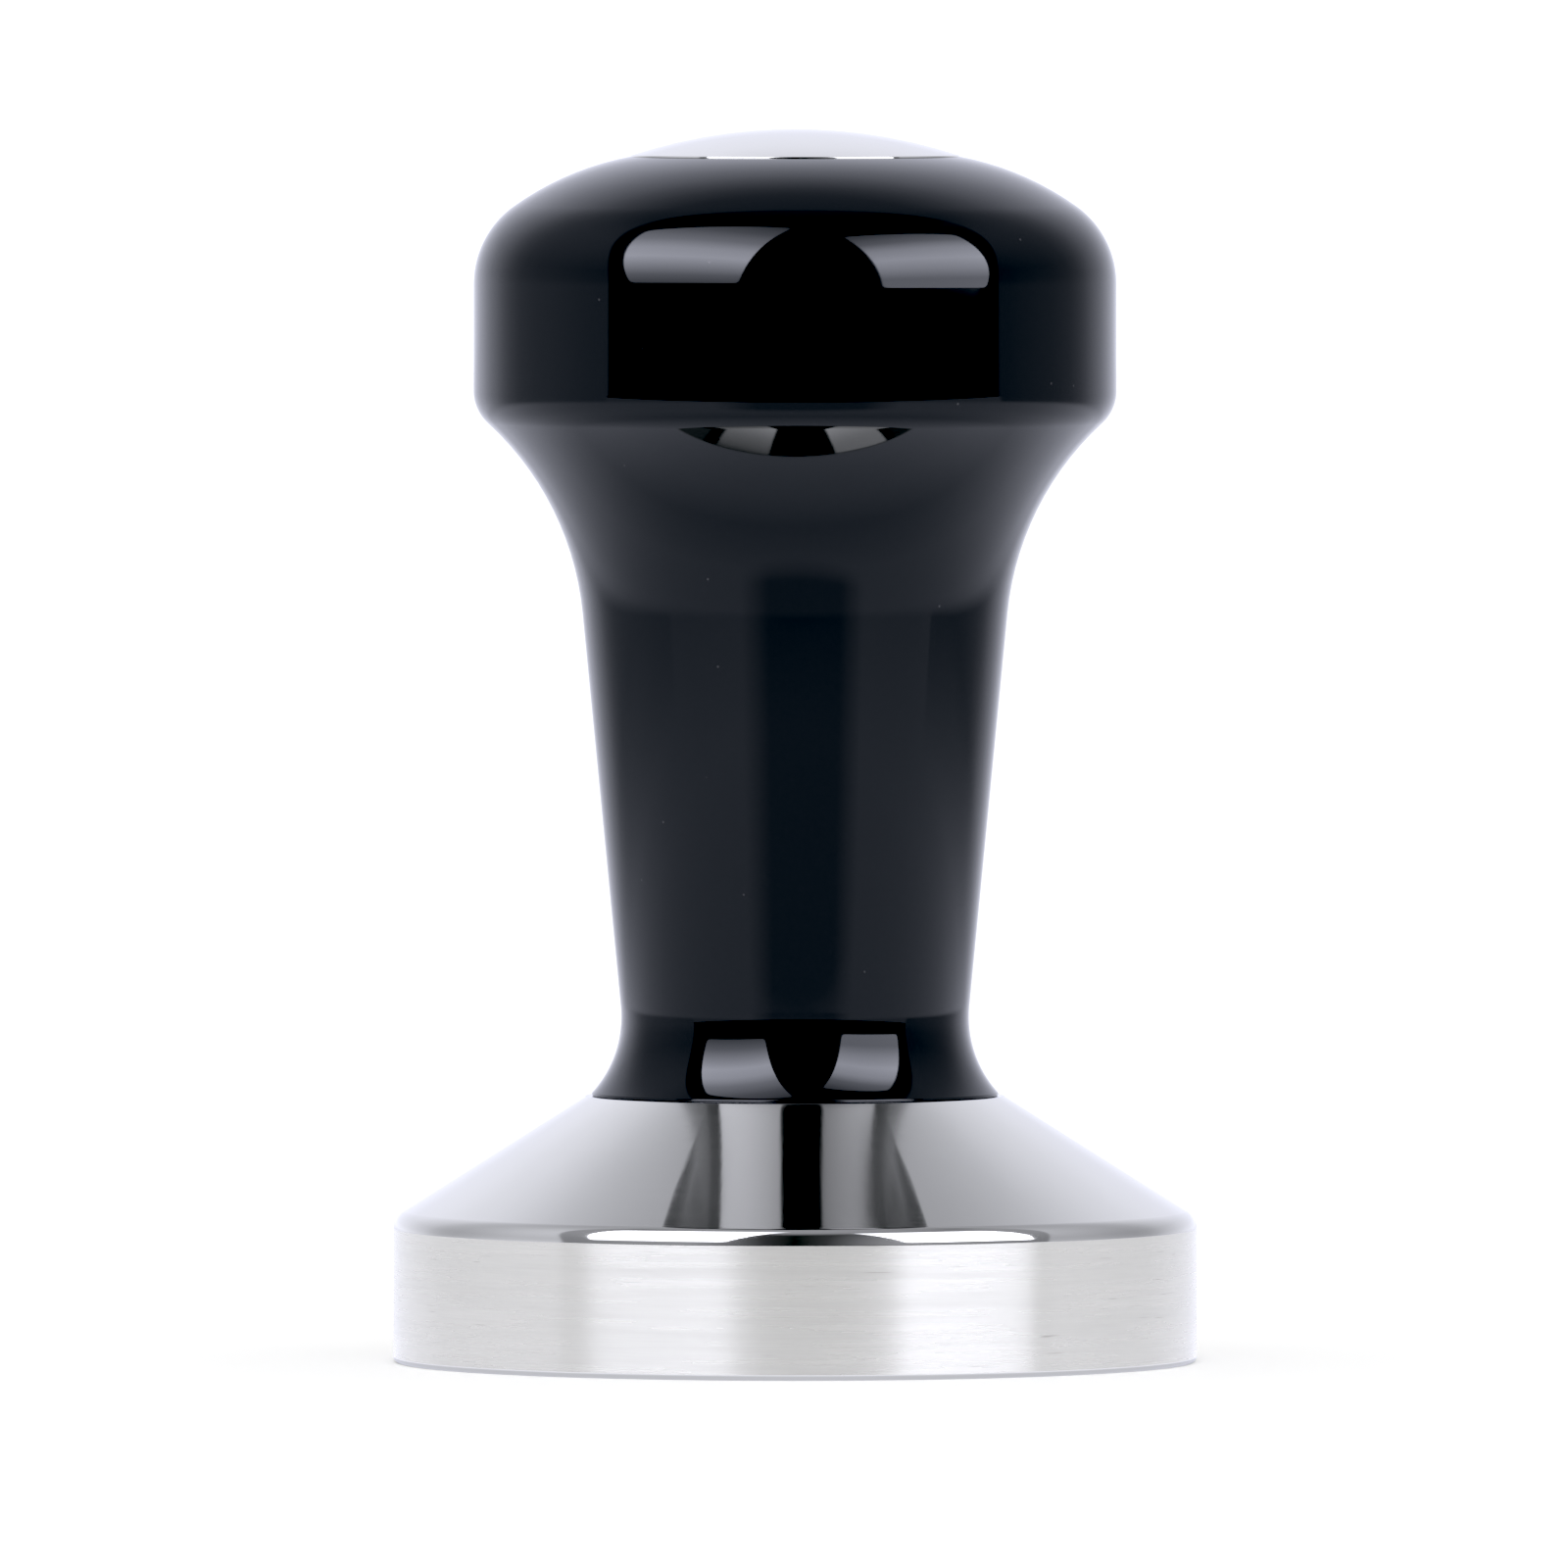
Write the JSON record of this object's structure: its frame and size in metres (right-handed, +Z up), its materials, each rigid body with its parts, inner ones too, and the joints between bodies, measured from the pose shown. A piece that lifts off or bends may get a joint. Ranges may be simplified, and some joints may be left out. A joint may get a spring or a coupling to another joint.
{
  "type": "espresso tamper",
  "caption": "Turned hand tamper: flat steel piston with a conical skirt, and a waisted gloss black handle with a domed steel cap that unscrews from it.",
  "frame": {"origin": "centre of the flat tamping face, which the tamper stands on", "axes": "+Z up the common axis of piston and handle, X and Y any two directions across it, since every outer surface is turned"},
  "size_m": [0.058, 0.058, 0.089],
  "materials": {
    "piston_steel": "polished",
    "screw_steel": "satin",
    "ring_rubber": "matte",
    "insert_brass": "satin",
    "handle_lacquer": "gloss",
    "pad_adhesive": "matte",
    "cap_steel": "polished"
  },
  "bodies": {
    "base": {"piston": "piston_steel", "stud": "screw_steel"},
    "friction_ring": {"seal_ring": "ring_rubber"},
    "grip": {"handle": "handle_lacquer", "thread_insert": "insert_brass", "cap_pad": "pad_adhesive", "cap": "cap_steel"}
  },
  "joints": [
    {"name": "handle_lift", "type": "slide", "parent": "base", "child": "friction_ring", "axis": [0, 0, 1], "range_m": [0, 0.0125]},
    {"name": "handle_turn", "type": "hinge", "parent": "friction_ring", "child": "grip", "pos_m": [0, 0, 0.0192], "axis": [0, 0, 1], "range_deg": [0, 3600]}
  ],
  "couplings": [
    {"joint": "handle_lift", "follows": "handle_turn", "m_per_rad": 0.00019894}
  ]
}
